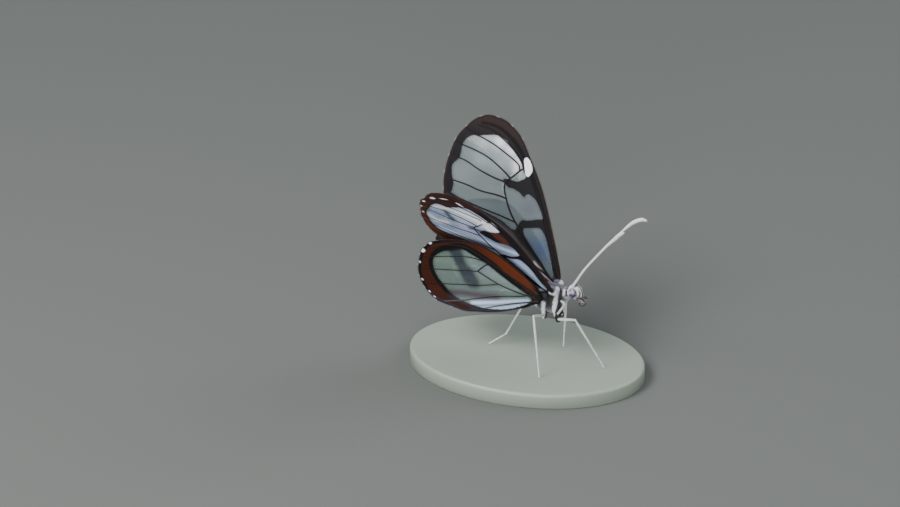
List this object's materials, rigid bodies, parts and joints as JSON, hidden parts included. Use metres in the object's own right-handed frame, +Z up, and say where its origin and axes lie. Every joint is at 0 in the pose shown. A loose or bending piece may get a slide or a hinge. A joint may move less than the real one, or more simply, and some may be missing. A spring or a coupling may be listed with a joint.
{
  "type": "glasswing butterfly",
  "caption": "Life-size glasswing butterfly standing with its clear wings half raised on a low oval base.",
  "frame": {"origin": "centre of the base's underside", "axes": "+X towards the head, +Y to the butterfly's left, +Z up"},
  "size_m": [0.036, 0.0276, 0.035],
  "materials": {
    "body": "dark chitin under short grey and white scales and hairs",
    "head": "black chitin with white and lilac-grey scales",
    "eye": "smooth, grey-violet, finely faceted",
    "feeler": "pale grey scales, satin",
    "leg": "white-grey scales, satin",
    "wing": "clear pearly membrane with scaled brown-black and orange-brown borders and veins",
    "base": "plain satin grey-green"
  },
  "bodies": {
    "root": {"thorax": "body", "abdomen": "body", "head": "head", "eye_left": "eye", "eye_right": "eye", "proboscis": "feeler", "antenna_left": "feeler", "palp_left": "feeler", "foreleg_left": "leg", "forewing_left": "wing", "hindwing_left": "wing", "antenna_right": "feeler", "palp_right": "feeler", "foreleg_right": "leg", "forewing_right": "wing", "hindwing_right": "wing", "leg_mid_right_femur": "leg", "leg_mid_right_tibia": "leg", "leg_mid_right_tarsus": "leg", "leg_mid_left_femur": "leg", "leg_mid_left_tibia": "leg", "leg_mid_left_tarsus": "leg", "leg_hind_right_femur": "leg", "leg_hind_right_tibia": "leg", "leg_hind_right_tarsus": "leg", "leg_hind_left_femur": "leg", "leg_hind_left_tibia": "leg", "leg_hind_left_tarsus": "leg", "stand_base": "base"}
  },
  "joints": []
}
